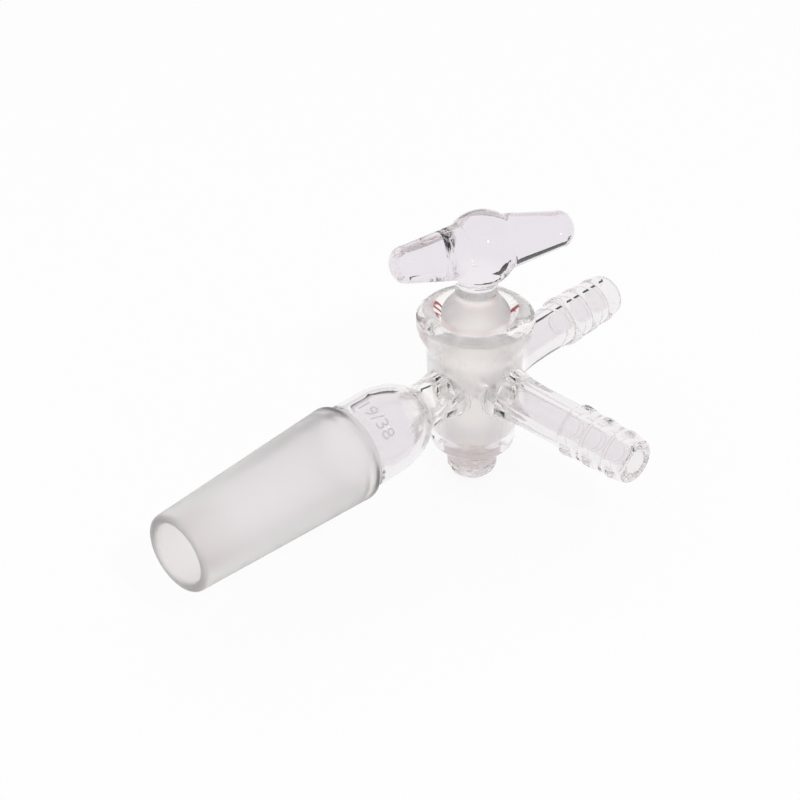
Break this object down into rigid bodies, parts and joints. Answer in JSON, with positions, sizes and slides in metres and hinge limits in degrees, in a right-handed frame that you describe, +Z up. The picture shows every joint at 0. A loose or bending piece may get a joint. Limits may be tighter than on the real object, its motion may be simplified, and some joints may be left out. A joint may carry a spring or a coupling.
{
  "type": "three-way glass stopcock",
  "caption": "T-shaped laboratory glass stopcock: hollow 19/38 ground cone, flared barrel with a turning T-handled ground key, and barbed hose nozzles in line and to one side.",
  "frame": {"origin": "centre of the ground cone's large end (the gauge plane, diameter 18.8 mm)", "axes": "the cone points to -X, the in-line nozzle to +X and the side nozzle to -Y; +Z is up along the key's turning axis, towards the handle"},
  "size_m": [0.1147, 0.0512, 0.0588],
  "materials": {
    "clear_glass": "clear fire-polished borosilicate, finely ground on the cone and in the bore",
    "ground_glass": "finely ground and matt on the plug, clear on the handle, neck and tip"
  },
  "bodies": {
    "body": {"stopcock_body": "clear_glass"},
    "key": {"stopcock_key": "ground_glass"}
  },
  "joints": [
    {"name": "key_turn", "type": "hinge", "parent": "body", "child": "key", "pos_m": [0.03537, 0, 0], "axis": [0, 0, 1], "continuous": true}
  ]
}
